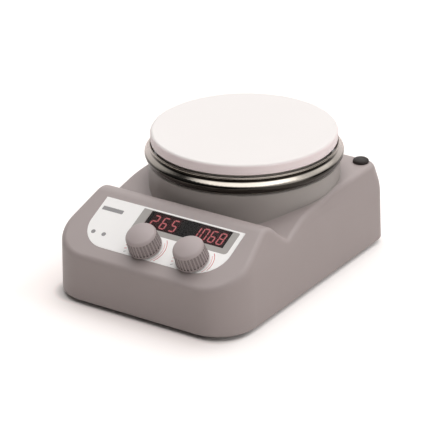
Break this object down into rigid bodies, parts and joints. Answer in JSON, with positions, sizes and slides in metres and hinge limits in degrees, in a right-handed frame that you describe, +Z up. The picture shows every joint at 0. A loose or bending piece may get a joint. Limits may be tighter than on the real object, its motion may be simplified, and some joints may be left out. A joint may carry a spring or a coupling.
{
  "type": "magnetic stirrer",
  "caption": "Compact hotplate magnetic stirrer: round white plate with a bright metal skirt on a wedge-fronted grey housing, sloped panel with red read-outs and fluted knobs.",
  "frame": {"origin": "on the table, under the middle of the overall length", "axes": "+Z up; the control panel faces -Y; +X is the right side seen from the panel"},
  "size_m": [0.158, 0.2094, 0.096],
  "materials": {
    "housing_paint": "satin warm grey coat",
    "zinc_sheet": "zinc plated sheet",
    "foot_rubber": "matte",
    "zinc_screw": "zinc plated",
    "motor_alloy": "as machined",
    "stator_steel": "stacked laminations",
    "copper_wire": "enamelled copper, brass stands in",
    "bearing_steel": "ground",
    "magnet": "nickel plated",
    "post_steel": "plain",
    "plate_ceramic": "white glaze on a metal disc",
    "mica": "mica sheet",
    "mineral_fibre": "pressed fibre",
    "shield_steel": "plain sheet",
    "skirt_chrome": "polished",
    "overlay_film": "printed film, semi gloss",
    "display_filter": "smoked filter",
    "board_green": "solder mask",
    "display_black": "black",
    "lit_red": "lit segments",
    "encoder_metal": "pressed",
    "knob_plastic": "satin",
    "nylon": "natural",
    "transformer_steel": "varnished laminations",
    "capacitor_sleeve": "shrink sleeve",
    "relay_plastic": "moulded",
    "terminal_plastic": "moulded",
    "socket_plastic": "moulded black",
    "brass_pin": "bright",
    "rocker_plastic": "moulded black",
    "plug_rubber": "satin black",
    "lead_sleeve": "braided glass sleeve",
    "lead_sleeve_brown": "insulation",
    "lead_sleeve_red": "insulation"
  },
  "bodies": {
    "housing": {"base_plate": "zinc_sheet", "base_screws": "zinc_screw", "board_screws": "zinc_screw", "capacitors": "capacitor_sleeve", "control_board": "board_green", "digit_segments": "lit_red", "display_module": "display_black", "display_window": "display_filter", "encoder_nuts": "zinc_screw", "front_overlay": "overlay_film", "heat_encoder": "encoder_metal", "heat_shield": "shield_steel", "heat_sink": "motor_alloy", "heater_element": "mica", "heater_leads": "lead_sleeve", "inlet_pins": "brass_pin", "inlet_screws": "zinc_screw", "insulation_disc": "mineral_fibre", "lower_bearing": "bearing_steel", "mains_leads": "lead_sleeve_brown", "motor_bracket": "zinc_sheet", "motor_can": "motor_alloy", "motor_coils": "copper_wire", "motor_screws": "zinc_screw", "motor_standoffs": "zinc_screw", "motor_stator": "stator_steel", "plate_posts": "post_steel", "plate_screws": "zinc_screw", "plate_skirt": "skirt_chrome", "power_board": "board_green", "power_board_spacers": "nylon", "power_inlet": "socket_plastic", "probe_socket": "socket_plastic", "probe_socket_nut": "zinc_screw", "relay": "relay_plastic", "rod_socket": "bearing_steel", "rubber_feet": "foot_rubber", "signal_leads": "lead_sleeve_red", "skirt_rivets": "post_steel", "speed_encoder": "encoder_metal", "switch_frame": "socket_plastic", "temperature_sensor": "post_steel", "terminal_block": "terminal_plastic", "top_plate": "plate_ceramic", "transformer": "transformer_steel", "upper_bearing": "bearing_steel", "upper_housing": "housing_paint"},
    "heat_press": {"heat_encoder_plunger": "encoder_metal"},
    "heat_dial": {"heat_knob": "knob_plastic", "heat_encoder_shaft": "bearing_steel"},
    "speed_press": {"speed_encoder_plunger": "encoder_metal"},
    "speed_dial": {"speed_knob": "knob_plastic", "speed_encoder_shaft": "bearing_steel"},
    "rotor": {"motor_shaft": "bearing_steel", "motor_rotor": "magnet", "magnet_carrier": "motor_alloy", "drive_magnets": "magnet", "carrier_grub_screw": "zinc_screw"},
    "rocker": {"power_rocker": "rocker_plastic"},
    "plug": {"rod_plug": "plug_rubber"}
  },
  "joints": [
    {"name": "heat_knob_press", "type": "slide", "parent": "housing", "child": "heat_press", "axis": [0, 0.4337, -0.9011], "range_m": [0, 0.0008], "stiffness_N_per_m": 400},
    {"name": "heat_knob_turn", "type": "hinge", "parent": "heat_press", "child": "heat_dial", "pos_m": [-0.0049, -0.08464, 0.04754], "axis": [0, -0.4337, 0.9011], "continuous": true},
    {"name": "speed_knob_press", "type": "slide", "parent": "housing", "child": "speed_press", "axis": [0, 0.4337, -0.9011], "range_m": [0, 0.0008], "stiffness_N_per_m": 400},
    {"name": "speed_knob_turn", "type": "hinge", "parent": "speed_press", "child": "speed_dial", "pos_m": [0.0345, -0.08464, 0.04754], "axis": [0, -0.4337, 0.9011], "continuous": true},
    {"name": "rotor_spin", "type": "hinge", "parent": "housing", "child": "rotor", "pos_m": [0, 0.0328, 0.045], "axis": [0, 0, 1], "continuous": true},
    {"name": "power_rocker_tilt", "type": "hinge", "parent": "housing", "child": "rocker", "pos_m": [0.014, 0.0953, 0.025], "axis": [1, 0, 0], "range_deg": [-20, 0]},
    {"name": "rod_plug_lift", "type": "slide", "parent": "housing", "child": "plug", "axis": [0, 0, 1], "range_m": [0, 0.02]}
  ]
}
